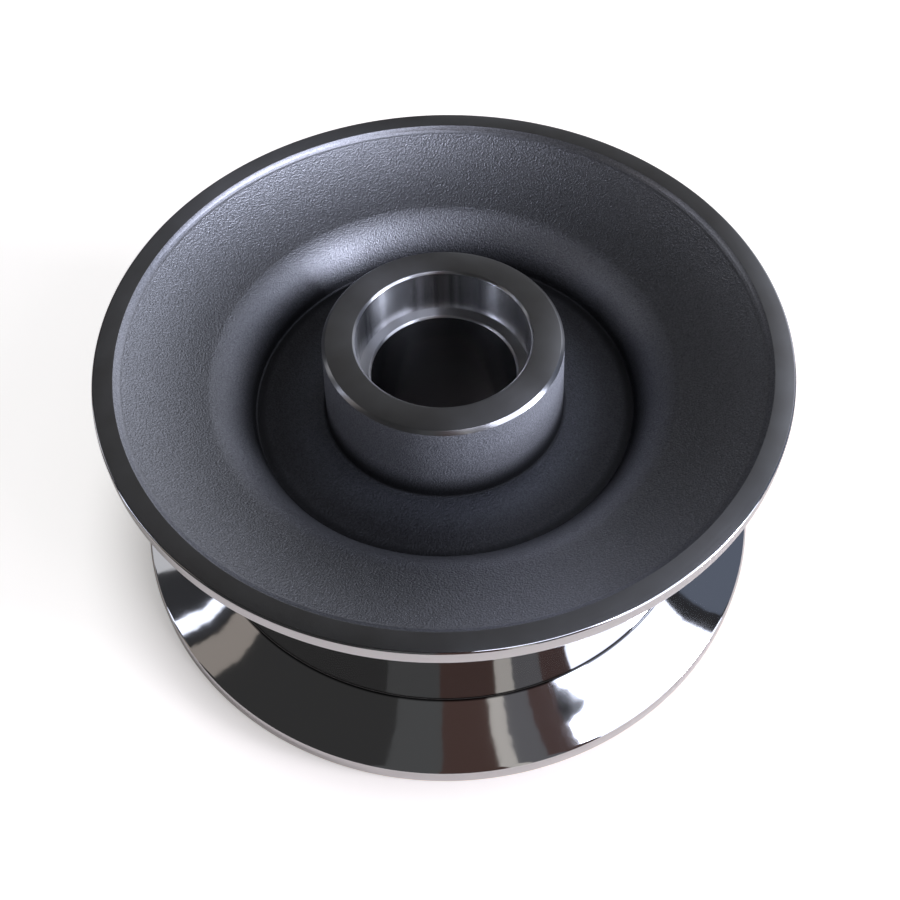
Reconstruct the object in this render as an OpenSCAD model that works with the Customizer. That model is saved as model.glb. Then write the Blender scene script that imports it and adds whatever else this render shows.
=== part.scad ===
// Flanged belt pulley: one grey iron casting, turned on the rims, the belt groove, the hub and the bore.
// Axis on Z, standing on its lower rim, origin on the axis at the foot. Millimetres and degrees.

/* [Rim] */
// Outside diameter of the two rims
rim_d = 157.5; // [152:0.5:170]
// Width over the two rim faces
rim_w = 65; // [60:0.5:80]
// Width of the turned ring on each rim face
ring_w = 4.7; // [3:0.1:7]
// Chamfer from the turned ring into the cast dish
ring_chamfer = 0.8; // [0.3:0.1:1.5]
// Rounding of the rim's outer corner, at its face
rim_corner_round = 0.6; // [0.2:0.1:1.2]
// Straight height of the rim's outer edge, before it is rounded
rim_edge_h = 4.2; // [3:0.1:5]
// Rounding from the rim's outer edge into the groove
rim_edge_round = 1.5; // [0.5:0.1:2.5]

/* [Belt groove] */
// Diameter of the belt face
belt_face_d = 127.5; // [122:0.5:134]
// Slope of the groove's flanks against the rim faces
flank_angle = 28; // [20:1:36]
// Fillet between a flank and the belt face
groove_fillet = 0.5; // [0.3:0.1:2]

/* [Dish and web] */
// Diameter where the cast dish ends at the shoulder
dish_foot_d = 109; // [104:0.5:114]
// Depth of the dish there, below the rim face
dish_depth = 10.3; // [9:0.1:12]
// Hollow of the dish, below a straight slope
dish_hollow = 0.65; // [0.2:0.05:1]
// Rounding of the edge between the dish and the shoulder
dish_edge_round = 5; // [1:0.5:8]
// Slope of the shoulder where it leaves the dish
shoulder_angle = 26.5; // [24:0.5:32]
// Rounding of the shoulder, down to the recess wall
shoulder_round = 15; // [8:0.5:18]
// Slope of the recess wall against its floor
wall_angle = 74; // [68:1:80]
// Fillet at the foot of the recess wall
wall_fillet = 0.6; // [0.3:0.1:2]
// Diameter of the recess at its floor
recess_d = 90.4; // [87:0.2:93]
// Depth of the recess floor below the rim face
recess_depth = 21.5; // [20:0.5:24]

/* [Hub] */
// Diameter of the hub at the rim face
hub_d = 55; // [52:0.5:60]
// Height of the hub's upper end above the rim face
hub_proud = 0.8; // [0:0.1:3]
// Casting draft of the hub's side
hub_draft = 2.5; // [0.5:0.5:4]
// Chamfer on the hub's two ends
hub_chamfer = 0.8; // [0.4:0.1:1.5]
// Fillet at the foot of the hub
hub_fillet = 0.5; // [0.3:0.1:2]

/* [Bore] */
// Diameter of the bearing seat in the upper end
seat_d = 40; // [37:0.5:44]
// Depth of the bearing seat
seat_depth = 12; // [8:0.5:18]
// Chamfer at the mouth of the bearing seat
seat_chamfer = 0.5; // [0.2:0.1:1]
// Diameter of the through bore
bore_d = 34; // [28:0.5:35]
// Chamfer at both ends of the through bore
bore_chamfer = 0.5; // [0.2:0.1:0.8]

/* [Hidden] */
$fn = 180;
// Largest turn of one straight step along a round, and steps along the dish's hollow
arc_step = 7.5;
dish_steps = 8;

rim_r = rim_d / 2;
ring_r = rim_r - ring_w;
belt_r = belt_face_d / 2;
hub_r = hub_d / 2;
seat_r = seat_d / 2;
bore_r = bore_d / 2;
hub_top = rim_w + hub_proud;
seat_floor = hub_top - seat_depth;

// Depth of a flank's foot below the rim face, and the hub's radius at its foot
belt_depth = rim_edge_h + (rim_r - belt_r) * tan(flank_angle);
hub_foot_r = hub_r + recess_depth * tan(hub_draft);

// Dish: from the ring's chamfer, hollowed, to its edge at the shoulder
dish_top = [ring_r - ring_chamfer, ring_chamfer];
dish_foot = [dish_foot_d / 2, dish_depth];
dish = [for (i = [1 : dish_steps - 1]) hollowed(dish_foot, dish_top, dish_hollow, i / dish_steps)];

// Shoulder: where its slope, from the dish's edge, meets the wall's slope, from the recess floor
recess_r = recess_d / 2;
shoulder_r = (recess_depth - dish_depth + recess_r * tan(wall_angle) - dish_foot.x * tan(shoulder_angle))
    / (tan(wall_angle) - tan(shoulder_angle));
shoulder_depth = dish_depth + (dish_foot.x - shoulder_r) * tan(shoulder_angle);

// The shoulder's round ends above the fillet at the foot of the wall and short of the dish's edge
wall_length = (recess_depth - shoulder_depth) / sin(wall_angle);
wall_free = wall_length - wall_fillet * tan(wall_angle / 2);
slope_length = (dish_foot.x - shoulder_r) / cos(shoulder_angle);
slope_free = slope_length - dish_edge_round * tan(shoulder_angle / 2);
shoulder_turn = min(shoulder_round, min(wall_free, slope_free) / tan((wall_angle - shoulder_angle) / 2));

// Point of an outline that keeps its sharp corner
function sharp(r, z) = [r, z, 0];

// Corner p of an outline, between the points before and after it, as a round of radius p.z
function round_corner(before, p, after) =
    let (
        u = unit([before.x - p.x, before.y - p.y]),
        v = unit([after.x - p.x, after.y - p.y]),
        half = acos(u * v) / 2,
        centre = [p.x, p.y] + unit(u + v) * p.z / sin(half),
        first = [p.x, p.y] + u * p.z / tan(half) - centre,
        turn = (180 - 2 * half) * sign(u.y * v.x - u.x * v.y),
        steps = ceil(abs(turn) / arc_step),
        from = atan2(first.y, first.x)
    )
    [for (i = [0 : steps]) centre + p.z * [cos(from + turn * i / steps), sin(from + turn * i / steps)]];

function unit(v) = v / norm(v);

// Point at the share t of the way from a to b, on a shallow curve that lies deeper by the given hollow
function hollowed(a, b, hollow, t) =
    a + (b - a) * t + unit([a.y - b.y, b.x - a.x]) * hollow * 4 * t * (1 - t);

// Closed outline with the round that each corner asks for
function rounded(corners) = [
    for (i = [0 : len(corners) - 1])
        let (last = len(corners) - 1)
            each corners[i].z == 0
                ? [[corners[i].x, corners[i].y]]
                : round_corner(corners[i == 0 ? last : i - 1], corners[i], corners[i == last ? 0 : i + 1])
];

// One side of the pulley, from the foot of the hub to the belt face, by depth below the rim face
side = [
    [hub_foot_r, recess_depth, hub_fillet],
    [recess_r, recess_depth, wall_fillet],
    [shoulder_r, shoulder_depth, shoulder_turn],
    [dish_foot.x, dish_foot.y, dish_edge_round],
    for (p = dish) sharp(p.x, p.y),
    sharp(dish_top.x, dish_top.y),
    sharp(ring_r, 0),
    [rim_r, 0, rim_corner_round],
    [rim_r, rim_edge_h, rim_edge_round],
    [belt_r, belt_depth, groove_fillet]
];

// The hub's ends and the bore, from the lower end to the upper one
bore = [
    sharp(hub_r, hub_chamfer),
    sharp(hub_r - hub_chamfer, 0),
    sharp(bore_r + bore_chamfer, 0),
    sharp(bore_r, bore_chamfer),
    sharp(bore_r, seat_floor - bore_chamfer),
    sharp(bore_r + bore_chamfer, seat_floor),
    sharp(seat_r, seat_floor),
    sharp(seat_r, hub_top - seat_chamfer),
    sharp(seat_r + seat_chamfer, hub_top),
    sharp(hub_r - hub_chamfer, hub_top),
    sharp(hub_r, hub_top - hub_chamfer)
];

// Half section: the bore, the upper side going out, and the lower side coming back
module section() {
    upper = [for (p = side) [p.x, rim_w - p.y, p.z]];
    lower = [for (i = [len(side) - 1 : -1 : 0]) side[i]];
    polygon(rounded(concat(bore, upper, lower)));
}

// The pulley, one casting
module pulley() {
    color([0.27, 0.27, 0.29]) rotate_extrude() section();
}

pulley();
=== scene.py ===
# %% [markdown]
# # A cast iron belt pulley
#
# The object is one iron casting: two flared rims, a wide groove for the belt, a dished web and a hub.
# A lathe has cut the rim faces, the groove, the hub's ends and the bore, and the rest still has the
# grain of its shot-blasted skin. In Blender it is one lathe shape with four finishes.
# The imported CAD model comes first, as a fixed frame in metres, so the new shape needs no fitting.

# %% Load the frame
import math

import bmesh
import bpy
from mathutils import Matrix, Vector


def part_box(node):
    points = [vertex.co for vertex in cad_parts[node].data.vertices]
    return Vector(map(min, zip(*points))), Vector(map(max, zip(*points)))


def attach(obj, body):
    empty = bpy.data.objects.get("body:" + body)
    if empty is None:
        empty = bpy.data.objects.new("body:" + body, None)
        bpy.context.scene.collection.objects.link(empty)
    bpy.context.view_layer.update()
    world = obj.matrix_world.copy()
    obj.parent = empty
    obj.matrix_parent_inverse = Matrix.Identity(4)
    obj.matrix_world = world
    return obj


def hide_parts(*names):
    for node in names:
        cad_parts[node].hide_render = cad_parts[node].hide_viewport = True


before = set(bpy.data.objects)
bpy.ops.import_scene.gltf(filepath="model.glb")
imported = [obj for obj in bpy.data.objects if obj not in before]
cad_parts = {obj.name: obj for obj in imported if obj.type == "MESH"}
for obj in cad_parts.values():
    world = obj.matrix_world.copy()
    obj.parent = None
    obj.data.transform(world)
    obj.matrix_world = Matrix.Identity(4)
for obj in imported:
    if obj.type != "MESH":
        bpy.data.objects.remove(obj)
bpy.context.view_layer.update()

_, node_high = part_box("pulley")

# %% [markdown]
# ## The sizes of the section
#
# Everything on a turned part follows from its half section, so the sizes are radii and depths.
# The outer radius and the height come from the frame. The others are the sizes of this casting,
# in millimetres turned into metres. Depths are counted from a rim face, because both sides are alike.

# %% Sizes of the rim and the groove
MM = 0.001
RIM_R = node_high.x
HUB_TOP = node_high.z
HUB_PROUD = 0.8 * MM
RIM_FACE = HUB_TOP - HUB_PROUD
MIDDLE = RIM_FACE / 2

RING_W = 4.7 * MM
RING_R = RIM_R - RING_W
RING_CHAMFER = 0.8 * MM
RIM_CORNER_ROUND = 0.6 * MM
RIM_EDGE_H = 4.2 * MM
RIM_EDGE_ROUND = 1.5 * MM
BELT_R = 63.75 * MM
FLANK_SLOPE = math.radians(28)
GROOVE_FILLET = 0.5 * MM
BELT_DEPTH = RIM_EDGE_H + (RIM_R - BELT_R) * math.tan(FLANK_SLOPE)
print("belt face from depth", round(BELT_DEPTH / MM, 2), "mm")

# %% Sizes of the dish and the recess
DISH_TOP = Vector((RING_R - RING_CHAMFER, RING_CHAMFER))
DISH_FOOT = Vector((54.5 * MM, 10.3 * MM))
DISH_HOLLOW = 0.65 * MM
DISH_EDGE_ROUND = 5.0 * MM
SHOULDER_SLOPE = math.radians(26.5)
WALL_SLOPE = math.radians(74)
WALL_FILLET = 0.6 * MM
RECESS_R = 45.2 * MM
RECESS_DEPTH = 21.5 * MM

# The shoulder's corner is where the slope from the dish meets the slope of the recess wall
SHOULDER_R = (
    RECESS_DEPTH - DISH_FOOT.y + RECESS_R * math.tan(WALL_SLOPE) - DISH_FOOT.x * math.tan(SHOULDER_SLOPE)
) / (math.tan(WALL_SLOPE) - math.tan(SHOULDER_SLOPE))
SHOULDER_DEPTH = DISH_FOOT.y + (DISH_FOOT.x - SHOULDER_R) * math.tan(SHOULDER_SLOPE)

# Its round takes almost all the length that the two slopes have left, so no two points fall together
LARGEST_SHOULDER_ROUND = 15 * MM
ROUND_SHARE = 0.999
wall_free = (RECESS_DEPTH - SHOULDER_DEPTH) / math.sin(WALL_SLOPE) - WALL_FILLET * math.tan(WALL_SLOPE / 2)
slope_free = (DISH_FOOT.x - SHOULDER_R) / math.cos(SHOULDER_SLOPE)
slope_free -= DISH_EDGE_ROUND * math.tan(SHOULDER_SLOPE / 2)
longest_round = min(wall_free, slope_free) / math.tan((WALL_SLOPE - SHOULDER_SLOPE) / 2)
SHOULDER_ROUND = min(LARGEST_SHOULDER_ROUND, longest_round) * ROUND_SHARE
print("shoulder at radius", round(SHOULDER_R / MM, 2), "mm, rounded by", round(SHOULDER_ROUND / MM, 2), "mm")

# %% Sizes of the hub and the bore
HUB_R = 27.5 * MM
HUB_DRAFT = math.radians(2.5)
HUB_FOOT_R = HUB_R + RECESS_DEPTH * math.tan(HUB_DRAFT)
HUB_CHAMFER = 0.8 * MM
HUB_FILLET = 0.5 * MM
SEAT_R = 20.0 * MM
SEAT_DEPTH = 12.0 * MM
SEAT_FLOOR = HUB_TOP - SEAT_DEPTH
SEAT_CHAMFER = 0.5 * MM
BORE_R = 17.0 * MM
BORE_CHAMFER = 0.5 * MM
EDGE_BREAK = 0.12 * MM
print("hub foot at radius", round(HUB_FOOT_R / MM, 2), "mm")

# %% [markdown]
# ## The half section
#
# A lathe shape can start from a tube, from a stack of scaled circles or from its drawn section.
# The section is chosen here, because a turned part is dimensioned that way.
# A plane is merged to one vertex, and the vertex is extruded from corner to corner, as one would
# click along a drawing. Each corner also has the radius of its round. A cut edge is never quite
# sharp, so even the plain corners get a small edge break, which catches the light.
# The dish is slightly hollow, so it gets a row of points along a shallow curve, which need no round.

# %% Corners of the section
DISH_STEPS = 14


def hollow_dish():
    """Points of the dish between its foot and its top, each a little deeper than a straight slope."""
    along = DISH_TOP - DISH_FOOT
    deeper = Vector((-along.y, along.x)).normalized()
    shares = [step / DISH_STEPS for step in range(1, DISH_STEPS)]
    return [DISH_FOOT + along * t + deeper * DISH_HOLLOW * 4 * t * (1 - t) for t in shares]


SIDE = [
    (HUB_FOOT_R, RECESS_DEPTH, HUB_FILLET),
    (RECESS_R, RECESS_DEPTH, WALL_FILLET),
    (SHOULDER_R, SHOULDER_DEPTH, SHOULDER_ROUND),
    (DISH_FOOT.x, DISH_FOOT.y, DISH_EDGE_ROUND),
    *((point.x, point.y, 0) for point in hollow_dish()),
    (DISH_TOP.x, DISH_TOP.y, EDGE_BREAK),
    (RING_R, 0, EDGE_BREAK),
    (RIM_R, 0, RIM_CORNER_ROUND),
    (RIM_R, RIM_EDGE_H, RIM_EDGE_ROUND),
    (BELT_R, BELT_DEPTH, GROOVE_FILLET),
]
BORE = [
    (HUB_R, HUB_CHAMFER, EDGE_BREAK),
    (HUB_R - HUB_CHAMFER, 0, EDGE_BREAK),
    (BORE_R + BORE_CHAMFER, 0, EDGE_BREAK),
    (BORE_R, BORE_CHAMFER, EDGE_BREAK),
    (BORE_R, SEAT_FLOOR - BORE_CHAMFER, EDGE_BREAK),
    (BORE_R + BORE_CHAMFER, SEAT_FLOOR, EDGE_BREAK),
    (SEAT_R, SEAT_FLOOR, EDGE_BREAK),
    (SEAT_R, HUB_TOP - SEAT_CHAMFER, EDGE_BREAK),
    (SEAT_R + SEAT_CHAMFER, HUB_TOP, EDGE_BREAK),
    (HUB_R - HUB_CHAMFER, HUB_TOP, EDGE_BREAK),
    (HUB_R, HUB_TOP - HUB_CHAMFER, EDGE_BREAK),
]
upper_side = [(r, RIM_FACE - depth, radius) for r, depth, radius in SIDE]
lower_side = [(r, depth, radius) for r, depth, radius in reversed(SIDE)]
corners = BORE + upper_side + lower_side
print(len(corners), "corners in the section")

# %% Draw the section
bpy.ops.object.select_all(action="DESELECT")
bpy.ops.mesh.primitive_plane_add(size=MM)
pulley = bpy.context.object
pulley.name = "pulley_casting"
bpy.ops.object.mode_set(mode="EDIT")
bpy.ops.mesh.select_all(action="SELECT")
bpy.ops.mesh.merge(type="CENTER")
bpy.ops.transform.translate(value=(corners[0][0], 0, corners[0][1]))
for here, there in zip(corners, corners[1:]):
    step = (there[0] - here[0], 0, there[1] - here[1])
    bpy.ops.mesh.extrude_region_move(TRANSFORM_OT_translate={"value": step})


def edit_mesh():
    """The mesh in edit mode, ready for selecting by index."""
    shape = bmesh.from_edit_mesh(pulley.data)
    for items in (shape.verts, shape.edges, shape.faces):
        items.ensure_lookup_table()
    return shape


def select_at(places):
    """Selects the vertices that lie on the given (radius, height) places of the section."""
    bpy.ops.mesh.select_all(action="DESELECT")
    shape = edit_mesh()
    for r, z in places:
        nearest = min(shape.verts, key=lambda v: (v.co.x - r) ** 2 + (v.co.z - z) ** 2)
        nearest.select_set(True)
    shape.select_flush_mode()
    bmesh.update_edit_mesh(pulley.data)


select_at([corners[0][:2], corners[-1][:2]])
bpy.ops.mesh.edge_face_add()
print("section drawn with", len(edit_mesh().edges), "edges")

# %% [markdown]
# ## Rounds and fillets
#
# Bevel on a single vertex of a wire cuts the corner and puts an arc there. It asks for the length
# that it takes off each side, which is the radius times the tangent of half the turn.

# %% Round the corners
DEGREES_PER_STEP = 6
FEWEST_STEPS = 4
EDGE_BREAK_STEPS = 2


def turn_at(index):
    """The angle by which the section turns at one of its corners."""
    before, here, after = (Vector(corners[i % len(corners)][:2]) for i in (index - 1, index, index + 1))
    return (here - before).angle(after - here)


for index, (r, z, radius) in enumerate(corners):
    if radius == 0:
        continue
    turn = turn_at(index)
    arc_steps = max(FEWEST_STEPS, round(math.degrees(turn) / DEGREES_PER_STEP))
    if radius == EDGE_BREAK:
        arc_steps = EDGE_BREAK_STEPS
    select_at([(r, z)])
    bpy.ops.mesh.bevel(
        offset=radius * math.tan(turn / 2), segments=arc_steps, profile=0.5, affect="VERTICES"
    )
print("rounded section has", len(edit_mesh().verts), "points")

# %% [markdown]
# ## Enough points for the cast skin
#
# A casting is never quite even, and that slow waviness is real relief, so the cast surfaces need
# points about two millimetres apart. The turned surfaces are true, and a few points are enough there.

# %% Divide the straight runs
CAST_STEP = 1.9 * MM
TURNED_STEP = 8.0 * MM
# A run is divided if it is more than this many times as long as its step
LONG_RUN = 1.5
# Beside the groove, the cast skin lies no deeper than this below the dish's slope
WEB_MARGIN = 3.0 * MM


def is_cast(r, z):
    """True where the section still has its cast skin: the dish, the recess and the hub's side."""
    depth = min(z, RIM_FACE - z)
    inside_rim = HUB_R - EDGE_BREAK <= r <= DISH_TOP.x + EDGE_BREAK and depth >= RING_CHAMFER - EDGE_BREAK
    slope = (DISH_FOOT.y - DISH_TOP.y) / (DISH_TOP.x - DISH_FOOT.x)
    near_dish = depth < DISH_TOP.y + (DISH_TOP.x - r) * slope + WEB_MARGIN
    return inside_rim and (near_dish or r < BELT_R - GROOVE_FILLET)


long_runs = []
for edge in edit_mesh().edges:
    a, b = (v.co for v in edge.verts)
    step = CAST_STEP if is_cast((a.x + b.x) / 2, (a.z + b.z) / 2) else TURNED_STEP
    if (b - a).length > LONG_RUN * step:
        long_runs.append(((a + b) / 2, math.ceil((b - a).length / step) - 1))
for middle, cuts in long_runs:
    bpy.ops.mesh.select_all(action="DESELECT")
    shape = edit_mesh()
    run = min(shape.edges, key=lambda e: ((e.verts[0].co + e.verts[1].co) / 2 - middle).length)
    run.select_set(True)
    bmesh.update_edit_mesh(pulley.data)
    bpy.ops.mesh.subdivide(number_cuts=cuts)
print("section now has", len(edit_mesh().verts), "points")

# %% [markdown]
# ## Spin
#
# One full turn about Z makes the casting. The first and last copy of the section meet, so doubles are
# merged, and the normals are recalculated after that, because a spin can turn a shape inside out.

# %% Spin the section
SPIN_STEPS = 340
SEAM_GAP = 0.001 * MM
bpy.ops.mesh.select_all(action="SELECT")
bpy.ops.mesh.spin(steps=SPIN_STEPS, angle=math.tau, center=(0, 0, 0), axis=(0, 0, 1))
bpy.ops.mesh.select_all(action="SELECT")
bpy.ops.mesh.remove_doubles(threshold=SEAM_GAP)
bpy.ops.mesh.normals_make_consistent(inside=False)
bpy.ops.object.mode_set(mode="OBJECT")
print("casting has", len(pulley.data.polygons), "faces")

# %% [markdown]
# ## The cast skin
#
# The sand mould leaves the skin slightly wavy. A Displace modifier with a soft cloud texture moves
# only the vertices of the cast zones, by a few hundredths of a millimetre, so the light runs over
# them a little unevenly, as on a real casting. The fine grain comes later, as bump in the material.

# %% Give the cast zones their relief
SKIN_WAVES = 11.0 * MM
SKIN_RELIEF = 0.1 * MM
SMOOTH_BELOW = math.radians(24)
cast_group = pulley.vertex_groups.new(name="cast_skin")
cast_points = [v.index for v in pulley.data.vertices if is_cast(v.co.xy.length, v.co.z)]
cast_group.add(cast_points, 1.0, "REPLACE")
skin_clouds = bpy.data.textures.new("cast_skin_clouds", "CLOUDS")
skin_clouds.noise_scale = SKIN_WAVES
skin_clouds.noise_depth = 1
skin = pulley.modifiers.new("cast_skin", "DISPLACE")
skin.texture = skin_clouds
skin.texture_coords = "LOCAL"
skin.vertex_group = cast_group.name
skin.strength = SKIN_RELIEF
bpy.ops.object.modifier_apply(modifier=skin.name)
bpy.ops.object.shade_smooth_by_angle(angle=SMOOTH_BELOW)
print(len(cast_points), "points moved for the cast skin")

# %% [markdown]
# ## Finishes
#
# Four finishes cover the casting. All of them are bare iron, so all are metallic, and they differ in
# roughness and in the marks that the tool left. Marks are made from Object coordinates: the distance
# from the axis gives rings on a turned face, and the height gives rings in a bore.

# %% Start of a finish


def new_finish(name):
    """A metallic material, with its nodes, a function that links two sockets and its main shader."""
    material = bpy.data.materials.new(name)
    material.use_nodes = True
    tree = material.node_tree
    shader = tree.nodes["Principled BSDF"]
    shader.inputs["Metallic"].default_value = 1.0
    pulley.data.materials.append(material)
    return tree.nodes, tree.links.new, shader


def place_on_object(nodes, link):
    """Sockets for the point on the object, its distance from the axis and its height."""
    place = nodes.new("ShaderNodeTexCoord").outputs["Object"]
    split = nodes.new("ShaderNodeSeparateXYZ")
    link(place, split.inputs[0])
    flat = nodes.new("ShaderNodeCombineXYZ")
    link(split.outputs["X"], flat.inputs["X"])
    link(split.outputs["Y"], flat.inputs["Y"])
    distance = nodes.new("ShaderNodeVectorMath")
    distance.operation = "LENGTH"
    link(flat.outputs[0], distance.inputs[0])
    return place, distance.outputs["Value"], split.outputs["Z"]


print("a finish can be started")

# %% Noise and tones
NOISE_LOW = 0.25
NOISE_HIGH = 0.75
DARK_AT = 0.3
LIGHT_AT = 0.7


def grain(nodes, link, place, size, detail):
    """Noise whose lumps have about the given size."""
    noise = nodes.new("ShaderNodeTexNoise")
    noise.inputs["Scale"].default_value = 1 / size
    noise.inputs["Detail"].default_value = detail
    link(place, noise.inputs["Vector"])
    return noise.outputs["Fac"]


def tool_marks(nodes, link, along, spacing, detail):
    """Rings that a tool leaves, as noise that changes only along one measure."""
    noise = nodes.new("ShaderNodeTexNoise")
    noise.noise_dimensions = "1D"
    noise.inputs["Scale"].default_value = 1 / spacing
    noise.inputs["Detail"].default_value = detail
    link(along, noise.inputs["W"])
    return noise.outputs["Fac"]


def spread(nodes, link, value, low, high):
    """A noise value, which mostly lies in the middle of its range, spread from low to high."""
    ranged = nodes.new("ShaderNodeMapRange")
    ranged.inputs["From Min"].default_value = NOISE_LOW
    ranged.inputs["From Max"].default_value = NOISE_HIGH
    ranged.inputs["To Min"].default_value = low
    ranged.inputs["To Max"].default_value = high
    link(value, ranged.inputs["Value"])
    return ranged.outputs["Result"]


def blend_tones(nodes, link, value, dark, light):
    """A noise value turned into a tone between two colours."""
    ramp = nodes.new("ShaderNodeValToRGB")
    ramp.color_ramp.elements[0].position = DARK_AT
    ramp.color_ramp.elements[0].color = (*dark, 1)
    ramp.color_ramp.elements[1].position = LIGHT_AT
    ramp.color_ramp.elements[1].color = (*light, 1)
    link(value, ramp.inputs["Fac"])
    return ramp.outputs["Color"]


print("noise and tones ready")

# %% Sums and relief


def calculate(nodes, link, operation, *values):
    """A Math node on sockets and numbers."""
    node = nodes.new("ShaderNodeMath")
    node.operation = operation
    for socket, value in zip(node.inputs, values):
        if isinstance(value, (int, float)):
            socket.default_value = value
        else:
            link(value, socket)
    return node.outputs[0]


def bump(nodes, link, height, distance, strength, under=None):
    """A bump of the given height, on top of another one if there is one."""
    node = nodes.new("ShaderNodeBump")
    node.inputs["Distance"].default_value = distance
    node.inputs["Strength"].default_value = strength
    link(height, node.inputs["Height"])
    if under is not None:
        link(under, node.inputs["Normal"])
    return node.outputs["Normal"]


print("sums and relief ready")

# %% [markdown]
# ### Blasted casting
#
# The dish, the recess and the hub's side are grey and dull, with a fine grain. Two noises make it:
# lumps of about 0.4 mm and specks of half that size. Light and shade are painted into the skin's tone:
# painted light makes it lightest next to the rim and on the recess floor beside the hub, and painted
# shade makes it darkest deep in the recess, most of all at the foot of the wall and of the hub, so its
# tone follows from a point's height and its distance from the axis. Both sides of the pulley are alike,
# so the height is counted from the middle. Next to the turned ring a narrow band is smooth: the grain
# fades out there, and a low step in the bump catches the light.

# %% Masks from a point's place
CORNER_CORE = 0.35


def off_middle(nodes, link, height):
    """A socket for the height above or below the pulley's middle."""
    return calculate(nodes, link, "ABSOLUTE", calculate(nodes, link, "SUBTRACT", height, MIDDLE))


def step_up(nodes, link, value, start, full):
    """0 up to the start and 1 from the full value on, with a soft step between."""
    soft = nodes.new("ShaderNodeMapRange")
    soft.interpolation_type = "SMOOTHSTEP"
    soft.inputs["From Min"].default_value = start
    soft.inputs["From Max"].default_value = full
    link(value, soft.inputs["Value"])
    return soft.outputs["Result"]


def step_down(nodes, link, value, start, gone):
    """1 up to the start and 0 from where it is gone, with a soft step between."""
    return calculate(nodes, link, "SUBTRACT", 1.0, step_up(nodes, link, value, start, gone))


def clear_of_corner(nodes, link, distance, rise, corner_r, corner_depth, reach):
    """0 in a corner that runs round the pulley, and 1 from the given reach on."""
    out = calculate(nodes, link, "SUBTRACT", distance, corner_r)
    up = calculate(nodes, link, "SUBTRACT", rise, MIDDLE - corner_depth)
    squares = calculate(nodes, link, "MULTIPLY_ADD", out, out, calculate(nodes, link, "MULTIPLY", up, up))
    return step_up(nodes, link, calculate(nodes, link, "SQRT", squares), CORNER_CORE * reach, reach)


def mix_tones(nodes, link, share, low, high):
    """The low tone where the share is 0 and the high one where it is 1."""
    mix = nodes.new("ShaderNodeMix")
    mix.data_type = "RGBA"
    link(share, mix.inputs["Factor"])
    for socket, tone in ((mix.inputs["A"], low), (mix.inputs["B"], high)):
        if isinstance(tone, tuple):
            socket.default_value = (*tone, 1)
        else:
            link(tone, socket)
    return mix.outputs["Result"]


print("masks ready")

# %% Grain of the blasted finish
LUMPS = 0.42 * MM
LUMP_DETAIL = 1
SPECKS = 0.22 * MM
SPECK_DETAIL = 2
SPECK_SHARE = 0.5
nodes, link, shader = new_finish("blasted_iron")
place, distance, height = place_on_object(nodes, link)
rise = off_middle(nodes, link, height)
lumps = grain(nodes, link, place, LUMPS, LUMP_DETAIL)
specks = grain(nodes, link, place, SPECKS, SPECK_DETAIL)
finer = calculate(nodes, link, "SUBTRACT", specks, lumps)
grains = calculate(nodes, link, "MULTIPLY_ADD", finer, SPECK_SHARE, lumps)
print("blasted grain made")

# %% Tone of the blasted finish, with painted light and shade
# Each pair is the tone of the dark and of the light grains
# The pairs carry painted light and shade: lighter near the rim and on the floor beside the hub, darker
# towards the recess wall
NEAR_RIM_PAINTED_LIGHT = ((0.37, 0.37, 0.387), (0.73, 0.73, 0.762))
NEAR_SHOULDER = ((0.25, 0.25, 0.261), (0.51, 0.51, 0.531))
NEAR_HUB_PAINTED_LIGHT = ((0.15, 0.155, 0.172), (0.29, 0.3, 0.33))
NEAR_WALL_PAINTED_SHADE = ((0.085, 0.085, 0.089), (0.155, 0.155, 0.162))
HUB_FOOT_PAINTED_SHADE = (0.05, 0.05, 0.052)
WALL_FOOT_PAINTED_SHADE = (0.07, 0.07, 0.073)
# Distances from the axis over which one tone goes over into the next
SHOULDER_TO_RIM = (56 * MM, 74 * MM)
HUB_TO_WALL = (30 * MM, 41 * MM)
OFF_THE_HUB = (HUB_FOOT_R, HUB_FOOT_R + 1 * MM)
# Heights off the middle, from just above the recess floor to a little below the foot of the dish
RECESS_TO_DISH = (MIDDLE - RECESS_DEPTH + 1 * MM, MIDDLE - DISH_FOOT.y - 3 * MM)
CORNER_SHADE = 3.0 * MM

shoulder_tone = blend_tones(nodes, link, grains, *NEAR_SHOULDER)
rim_painted_light = blend_tones(nodes, link, grains, *NEAR_RIM_PAINTED_LIGHT)
dish_light_and_shade = mix_tones(nodes, link, step_up(nodes, link, distance, *SHOULDER_TO_RIM), shoulder_tone, rim_painted_light)
floor_painted_light = blend_tones(nodes, link, grains, *NEAR_HUB_PAINTED_LIGHT)
floor_painted_shade = blend_tones(nodes, link, grains, *NEAR_WALL_PAINTED_SHADE)
floor_light_and_shade = mix_tones(nodes, link, step_up(nodes, link, distance, *HUB_TO_WALL), floor_painted_light, floor_painted_shade)
# Painted shade: the hub's side darkens towards its foot
on_hub = step_down(nodes, link, distance, *OFF_THE_HUB)
recess_light_and_shade = mix_tones(nodes, link, on_hub, floor_light_and_shade, HUB_FOOT_PAINTED_SHADE)
skin_light_and_shade = mix_tones(nodes, link, step_up(nodes, link, rise, *RECESS_TO_DISH), recess_light_and_shade, dish_light_and_shade)
# A ring of painted shade lies in the corner at the foot of the recess wall
wall_foot_shade_mask = clear_of_corner(nodes, link, distance, rise, RECESS_R, RECESS_DEPTH, CORNER_SHADE)
link(mix_tones(nodes, link, wall_foot_shade_mask, WALL_FOOT_PAINTED_SHADE, skin_light_and_shade), shader.inputs["Base Color"])
print("blasted tone made")

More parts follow.
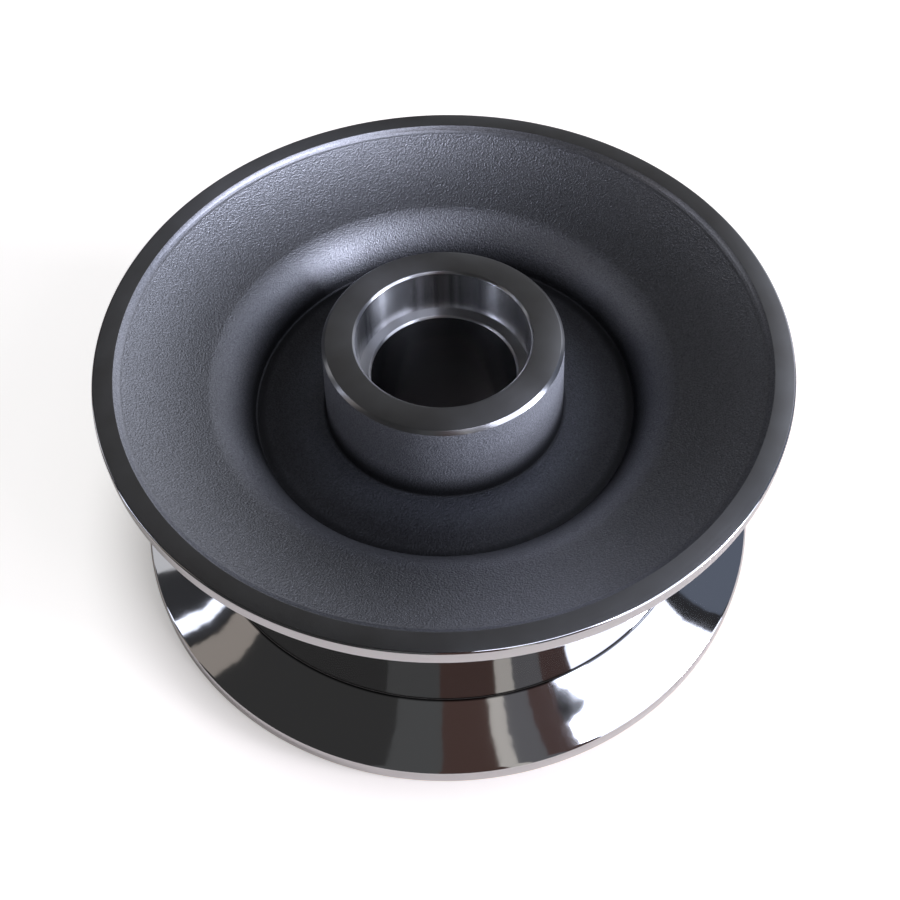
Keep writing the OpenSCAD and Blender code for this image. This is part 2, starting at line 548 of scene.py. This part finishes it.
# %% Roughness of the blasted finish
BLASTED_ROUGH = (0.35, 0.41)
SHOULDER_ROUGHER = 0.1
HUB_ROUGHER = 0.3
OFF_THE_SHOULDER = (52 * MM, 55 * MM)
dish_rough = spread(nodes, link, lumps, *BLASTED_ROUGH)
inner = step_down(nodes, link, distance, *OFF_THE_SHOULDER)
inner_rough = calculate(nodes, link, "MULTIPLY_ADD", inner, SHOULDER_ROUGHER, dish_rough)
link(calculate(nodes, link, "MULTIPLY_ADD", on_hub, HUB_ROUGHER, inner_rough), shader.inputs["Roughness"])
print("blasted roughness made")

# %% Relief of the blasted finish
LUMP_HEIGHT = 0.2 * MM
LUMP_STRENGTH = 0.6
SPECK_HEIGHT = 0.08 * MM
SPECK_STRENGTH = 0.5
GRAIN_TO_BAND = (72.2 * MM, 72.8 * MM)
BAND = (72.0 * MM, 74.0 * MM)
BAND_HEIGHT = 0.15 * MM
BAND_STRENGTH = 1.0
grainy = step_down(nodes, link, distance, *GRAIN_TO_BAND)
lump_relief = calculate(nodes, link, "MULTIPLY", lumps, grainy)
speck_relief = calculate(nodes, link, "MULTIPLY", specks, grainy)
lumpy = bump(nodes, link, lump_relief, LUMP_HEIGHT, LUMP_STRENGTH)
speckled = bump(nodes, link, speck_relief, SPECK_HEIGHT, SPECK_STRENGTH, lumpy)
band = step_up(nodes, link, distance, *BAND)
link(bump(nodes, link, band, BAND_HEIGHT, BAND_STRENGTH, speckled), shader.inputs["Normal"])
print("blasted finish made")

# %% [markdown]
# ### Turned faces
#
# The rim rings and the hub's ends were faced on the lathe. The tool leaves fine rings, which spread
# a reflection across them, away from the axis: two light wedges then lie on opposite sides of the face.
# Anisotropy does this. Its tangent runs round the axis, and a quarter turn makes it point outwards.

# %% Turned finish
QUARTER_TURN = 0.25
MARK_DETAIL = 3
MARK_STRENGTH = 0.3
FACING_MARKS = 0.35 * MM
FACING_RELIEF = 0.004 * MM
PATCH_SIZE = 9 * MM
PATCH_DETAIL = 2
TURNED_TONES = ((0.5, 0.49, 0.485), (0.58, 0.58, 0.585))
TURNED_ROUGH = (0.28, 0.32)
TURNED_SPREAD = 0.8


def round_the_axis(nodes):
    """A socket for the direction that runs round the pulley's axis."""
    tangent = nodes.new("ShaderNodeTangent")
    tangent.direction_type = "RADIAL"
    tangent.axis = "Z"
    return tangent.outputs[0]


nodes, link, shader = new_finish("turned_iron")
place, distance, _ = place_on_object(nodes, link)
rings = tool_marks(nodes, link, distance, FACING_MARKS, MARK_DETAIL)
patches = grain(nodes, link, place, PATCH_SIZE, PATCH_DETAIL)
link(blend_tones(nodes, link, patches, *TURNED_TONES), shader.inputs["Base Color"])
shader.inputs["Anisotropic"].default_value = TURNED_SPREAD
shader.inputs["Anisotropic Rotation"].default_value = QUARTER_TURN
link(spread(nodes, link, rings, *TURNED_ROUGH), shader.inputs["Roughness"])
link(round_the_axis(nodes), shader.inputs["Tangent"])
link(bump(nodes, link, rings, FACING_RELIEF, MARK_STRENGTH), shader.inputs["Normal"])
print("turned finish made")

# %% [markdown]
# ### Polished groove
#
# The flanks and the belt face are almost a mirror. A faint waviness keeps the reflections from looking
# drawn with a ruler. In the corner between a flank and the belt face a thin line of painted shade darkens the
# colour.

# %% Polished finish
POLISHED_TONE = (0.74, 0.735, 0.73)
GROOVE_CORNER_PAINTED_SHADE = (0.05, 0.05, 0.05)
GROOVE_CORNER = 0.8 * MM
POLISHED_ROUGH = 0.06
RIPPLE_SIZE = 7 * MM
RIPPLE_DETAIL = 2
RIPPLE_RELIEF = 0.05 * MM
RIPPLE_STRENGTH = 0.5
GROOVE_MARKS = 0.4 * MM
GROOVE_RELIEF = 0.002 * MM
GROOVE_STRENGTH = 0.25
nodes, link, shader = new_finish("polished_iron")
place, distance, height = place_on_object(nodes, link)
rise = off_middle(nodes, link, height)
# Painted shade: a thin dark line in the corner between each flank and the belt face
corner = clear_of_corner(nodes, link, distance, rise, BELT_R, BELT_DEPTH, GROOVE_CORNER)
link(mix_tones(nodes, link, corner, GROOVE_CORNER_PAINTED_SHADE, POLISHED_TONE), shader.inputs["Base Color"])
shader.inputs["Roughness"].default_value = POLISHED_ROUGH
ripple = grain(nodes, link, place, RIPPLE_SIZE, RIPPLE_DETAIL)
wavy = bump(nodes, link, ripple, RIPPLE_RELIEF, RIPPLE_STRENGTH)
marks = tool_marks(nodes, link, height, GROOVE_MARKS, MARK_DETAIL)
link(bump(nodes, link, marks, GROOVE_RELIEF, GROOVE_STRENGTH, wavy), shader.inputs["Normal"])
print("polished finish made")

# %% [markdown]
# ### Bored surfaces
#
# The bearing seat and the bore have the rings of a boring bar along their height, and are a little
# duller than the groove. The seat's wall also shows upright streaks: a noise that is stretched along
# the height. The bore below the seat is darker.

# %% Bored finish
BORING_MARKS = 0.4 * MM
BORING_RELIEF = 0.003 * MM
STREAK_STRETCH = (1, 1, 0.02)
STREAK_WIDTH = 1.2 * MM
STREAK_DETAIL = 2
STREAK_RELIEF = 0.008 * MM
STREAK_STRENGTH = 0.5
SEAT_TONES = ((0.55, 0.55, 0.56), (0.9, 0.9, 0.91))
BORE_TONE = (0.36, 0.36, 0.37)
BORED_ROUGH = (0.22, 0.27)
BORED_SPREAD = 0.9
nodes, link, shader = new_finish("bored_iron")
place, _, height = place_on_object(nodes, link)
upright = nodes.new("ShaderNodeMapping")
upright.inputs["Scale"].default_value = STREAK_STRETCH
link(place, upright.inputs["Vector"])
streaks = grain(nodes, link, upright.outputs["Vector"], STREAK_WIDTH, STREAK_DETAIL)
seat_tone = blend_tones(nodes, link, streaks, *SEAT_TONES)
in_seat = step_up(nodes, link, height, SEAT_FLOOR - BORE_CHAMFER, SEAT_FLOOR)
link(mix_tones(nodes, link, in_seat, BORE_TONE, seat_tone), shader.inputs["Base Color"])
shader.inputs["Anisotropic"].default_value = BORED_SPREAD
shader.inputs["Anisotropic Rotation"].default_value = QUARTER_TURN
link(round_the_axis(nodes), shader.inputs["Tangent"])
rings = tool_marks(nodes, link, height, BORING_MARKS, MARK_DETAIL)
link(spread(nodes, link, rings, *BORED_ROUGH), shader.inputs["Roughness"])
marks = bump(nodes, link, rings, BORING_RELIEF, MARK_STRENGTH)
link(bump(nodes, link, streaks, STREAK_RELIEF, STREAK_STRENGTH, marks), shader.inputs["Normal"])
print("bored finish made")

# %% [markdown]
# ## Which face has which finish
#
# The zones are told apart by where a face lies: its distance from the axis, its height and whether it
# looks out from the axis. They are selected in code and given to a material slot.

# %% Give each zone its finish
BLASTED, TURNED, POLISHED, BORED = range(4)
# How far a face looks outwards, from -1, straight at the axis, to 1, straight away from it
CHAMFER_BELOW = -0.3
BORED_BELOW = -0.9
POLISHED_ABOVE = 0.2


def finish_of(face):
    """The finish of a face, from its place on the section."""
    middle = face.calc_center_median()
    r = middle.xy.length
    outward = face.normal.xy.dot(middle.xy) / r
    ring_chamfer = DISH_TOP.x < r < RING_R and outward < CHAMFER_BELOW
    if is_cast(r, middle.z) or ring_chamfer:
        return BLASTED
    if r < SEAT_R + EDGE_BREAK and outward < BORED_BELOW:
        return BORED
    if r > BELT_R - EDGE_BREAK and outward > POLISHED_ABOVE:
        return POLISHED
    return TURNED


bpy.ops.object.mode_set(mode="EDIT")
bpy.ops.mesh.select_mode(type="FACE")
finishes = [finish_of(face) for face in edit_mesh().faces]
for finish in (BLASTED, TURNED, POLISHED, BORED):
    bpy.ops.mesh.select_all(action="DESELECT")
    for face in edit_mesh().faces:
        face.select_set(finishes[face.index] == finish)
    bmesh.update_edit_mesh(pulley.data)
    pulley.active_material_index = finish
    bpy.ops.object.material_slot_assign()
    print(pulley.material_slots[finish].name, finishes.count(finish), "faces")
bpy.ops.object.mode_set(mode="OBJECT")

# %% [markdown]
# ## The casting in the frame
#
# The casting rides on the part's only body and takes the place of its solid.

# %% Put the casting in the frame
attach(pulley, "root")
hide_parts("pulley")
print("casting is in the frame")

# %% [markdown]
# ## Floor and background
#
# The pulley stands on a plain pale floor. Light Path's ray types let the floor be white where the
# camera looks at it and dim where the metal mirrors it, while it lights the object only a little.
# Under the pulley the floor is in the dark, so its glow fades away towards the axis: painted shade, which
# also lays a soft painted shadow on the floor round the pulley's foot.

# %% Floor
FLOOR_SIZE = 8.0
FLOOR_TONE = (0.82, 0.72, 0.635)
DULL = 0.9
FLOOR_GLOW = 0.8
FLOOR_GLOW_IN_METAL = 0.12
GLOW_FROM = 60 * MM
GLOW_FULL = 100 * MM
bpy.ops.object.select_all(action="DESELECT")
bpy.ops.mesh.primitive_plane_add(size=FLOOR_SIZE)
floor = bpy.context.object
floor.name = "floor"
paper = bpy.data.materials.new("pale_floor")
paper.use_nodes = True
floor.data.materials.append(paper)
nodes, link = paper.node_tree.nodes, paper.node_tree.links.new
shader = nodes["Principled BSDF"]
shader.inputs["Base Color"].default_value = (*FLOOR_TONE, 1)
shader.inputs["Roughness"].default_value = DULL
shader.inputs["Specular IOR Level"].default_value = 0.0
shader.inputs["Emission Color"].default_value = (1, 1, 1, 1)
ray = nodes.new("ShaderNodeLightPath").outputs
shiny_ray = calculate(nodes, link, "MAXIMUM", ray["Is Glossy Ray"], ray["Is Transmission Ray"])
in_metal = calculate(nodes, link, "MULTIPLY", shiny_ray, FLOOR_GLOW_IN_METAL)
glow = calculate(nodes, link, "MULTIPLY_ADD", ray["Is Camera Ray"], FLOOR_GLOW, in_metal)
_, distance, _ = place_on_object(nodes, link)
# The fade is painted shade, and a soft painted shadow round the pulley's foot
clear_of_painted_floor_shadow = step_up(nodes, link, distance, GLOW_FROM, GLOW_FULL)
link(calculate(nodes, link, "MULTIPLY", glow, clear_of_painted_floor_shadow), shader.inputs["Emission Strength"])
print("floor made")

# %% White world
world = bpy.data.worlds.new("white_studio")
bpy.context.scene.world = world
world.use_nodes = True
world.node_tree.nodes["Background"].inputs["Color"].default_value = (1, 1, 1, 1)
world.node_tree.nodes["Background"].inputs["Strength"].default_value = 1.0
print("world made")

# %% [markdown]
# ## A dim room
#
# Bright metal shows what stands round it. In the photograph the turned faces are dark and the groove
# has one broad white reflection, so the object stands in a dim room beside a large window.
# Walls and a ceiling make the room, a little lighter at the back. They are set not to show to the
# camera, so the background stays white from every side.

# %% Walls and ceiling
ROOM_SIZE = 2.4
ROOM_SINK = 0.01
WALL_TONE = (0.03, 0.03, 0.03)
WALL_LIGHT_FRONT = 0.008
WALL_LIGHT_BACK = 0.015
LIGHTER_FROM = 0.4
LOOKS_DOWN = -0.5
bpy.ops.object.select_all(action="DESELECT")
bpy.ops.mesh.primitive_cube_add(size=ROOM_SIZE, location=(0, 0, ROOM_SIZE / 2 - ROOM_SINK))
room = bpy.context.object
room.name = "dim_room"
bpy.ops.object.mode_set(mode="EDIT")
bpy.ops.mesh.select_all(action="DESELECT")
shape = bmesh.from_edit_mesh(room.data)
for face in shape.faces:
    face.select_set(face.normal.z < LOOKS_DOWN)
bmesh.update_edit_mesh(room.data)
bpy.ops.mesh.delete(type="FACE")
bpy.ops.object.mode_set(mode="OBJECT")
room.visible_camera = False
walls = bpy.data.materials.new("dim_wall")
walls.use_nodes = True
room.data.materials.append(walls)
nodes, link = walls.node_tree.nodes, walls.node_tree.links.new
shader = nodes["Principled BSDF"]
shader.inputs["Base Color"].default_value = (*WALL_TONE, 1)
shader.inputs["Roughness"].default_value = DULL
shader.inputs["Emission Color"].default_value = (1, 1, 1, 1)
split = nodes.new("ShaderNodeSeparateXYZ")
link(nodes.new("ShaderNodeTexCoord").outputs["Object"], split.inputs[0])
towards_back = nodes.new("ShaderNodeMapRange")
towards_back.inputs["From Min"].default_value = LIGHTER_FROM
towards_back.inputs["From Max"].default_value = ROOM_SIZE / 2
towards_back.inputs["To Min"].default_value = WALL_LIGHT_FRONT
towards_back.inputs["To Max"].default_value = WALL_LIGHT_BACK
link(split.outputs["Y"], towards_back.inputs["Value"])
link(towards_back.outputs["Result"], shader.inputs["Emission Strength"])
print("room made")

# %% [markdown]
# ## Cards and lamps
#
# A mirror with nothing to show looks flat, so plain cards stand round the bright metal. Upright cards
# of different tones in front give the groove its bands, those at the back light the dish from behind,
# and pale ones on the left give the light lines there. The daylight comes from a large window on the
# right with two smaller and stronger panes, from a lamp overhead and from a narrow strip on the left.

# %% Cards
CARD_DISTANCE = 1.05
TALL = 2.2
MEDIUM = 1.4


def towards(azimuth):
    """The level direction from the axis at an azimuth in degrees."""
    turn = math.radians(azimuth)
    return Vector((math.cos(turn), math.sin(turn), 0))


def card(name, azimuth, span, low, high, light):
    """An upright card that faces the axis, over a span of degrees, with its own soft light."""
    away = towards(azimuth)
    width = 2 * CARD_DISTANCE * math.tan(math.radians(span / 2))
    bpy.ops.object.select_all(action="DESELECT")
    bpy.ops.mesh.primitive_plane_add(size=1, location=CARD_DISTANCE * away + Vector((0, 0, (low + high) / 2)))
    panel = bpy.context.object
    panel.name = name
    panel.scale = (width, high - low, 1)
    panel.rotation_euler = (-away).to_track_quat("Z", "Y").to_euler()
    panel.visible_camera = False
    tone = bpy.data.materials.new(name)
    tone.use_nodes = True
    shader = tone.node_tree.nodes["Principled BSDF"]
    shader.inputs["Base Color"].default_value = (0, 0, 0, 1)
    shader.inputs["Specular IOR Level"].default_value = 0
    shader.inputs["Emission Color"].default_value = (*light, 1)
    shader.inputs["Emission Strength"].default_value = 1.0
    panel.data.materials.append(tone)


card("card_front_left", -140, 56, 0, TALL, (0.036, 0.036, 0.037))
card("card_dark_grey", -103, 18, 0, TALL, (0.075, 0.077, 0.08))
card("card_brown_front", -84.5, 19, 0, TALL, (0.07, 0.043, 0.039))
card("card_pale", -72, 6, 0, TALL, (0.5, 0.48, 0.465))
card("card_grey", -64, 10, 0, TALL, (0.12, 0.12, 0.132))
card("card_brown_side", -54, 10, 0, TALL, (0.075, 0.048, 0.046))
card("card_blue_right", 15, 26, 0, MEDIUM, (0.12, 0.14, 0.19))
card("card_right_back", 46, 30, 0, MEDIUM, (0.58, 0.61, 0.7))
card("card_back_low", 75, 30, 0, 0.6, (0.3, 0.31, 0.335))
card("card_back", 90, 70, 0.75, 2.3, (0.065, 0.065, 0.067))
card("card_white_left", 160, 10, 0, 0.75, (0.6, 0.61, 0.65))
card("card_beige_left", -172, 9, 0, 1.2, (0.3, 0.27, 0.25))
print("cards stand round the object")

# %% Lamps
DAYLIGHT = (0.77, 0.82, 1.0)
DOWN = (0, 0, -1)
LEFT = (-1, 0, 0)


def lamp(name, place, width, height, power, aim):
    """A rectangular lamp at a place, looking along the given aim."""
    bpy.ops.object.light_add(type="AREA", location=place)
    panel = bpy.context.object
    panel.name = name
    panel.rotation_euler = Vector(aim).to_track_quat("-Z", "Y").to_euler()
    panel.data.shape = "RECTANGLE"
    panel.data.size = width
    panel.data.size_y = height
    panel.data.energy = power
    panel.data.color = DAYLIGHT
    panel.visible_camera = False


def lamp_at(name, azimuth, middle, width, height, power):
    """An upright lamp at an azimuth, with its middle at a height, looking level at the axis."""
    away = towards(azimuth)
    lamp(name, CARD_DISTANCE * away + Vector((0, 0, middle)), width, height, power, -away)


lamp("window", (1.0, -0.65, 0.76), 1.2, 1.5, 13.5, LEFT)
lamp_at("window_low", -16, 0.3, 0.27, 0.26, 12.0)
lamp_at("window_side", -42, 0.975, 0.25, 0.45, 2.6)
lamp("overhead", (0.4, -0.52, 1.35), 0.6, 0.45, 2.3, DOWN)
lamp_at("strip_left", 178, 0.5, 0.07, 0.9, 0.4)
print("lamps set")

# %% [markdown]
# ## Camera
#
# The camera stands where the photograph was taken, close to the part, so the upper rim looks larger
# than the lower one. Its place and angles were found by fitting the rims' ellipses.

# %% Camera
CAMERA_AT = (1.011 * MM, -182.311 * MM, 272.378 * MM)
LENS = 48.63
SENSOR = 36.0
PITCH = 53.92
ROLL = -1.295
NEAREST = 0.01
bpy.ops.object.camera_add(location=CAMERA_AT)
camera = bpy.context.object
tilt = Matrix.Rotation(math.radians(90 - PITCH), 3, "X")
lean = Matrix.Rotation(math.radians(ROLL), 3, "Z")
camera.rotation_euler = (tilt @ lean).to_euler()
camera.data.lens = LENS
camera.data.sensor_width = SENSOR
camera.data.clip_start = NEAREST
bpy.context.scene.camera = camera
bpy.context.scene.view_settings.view_transform = "Standard"
print("camera set")
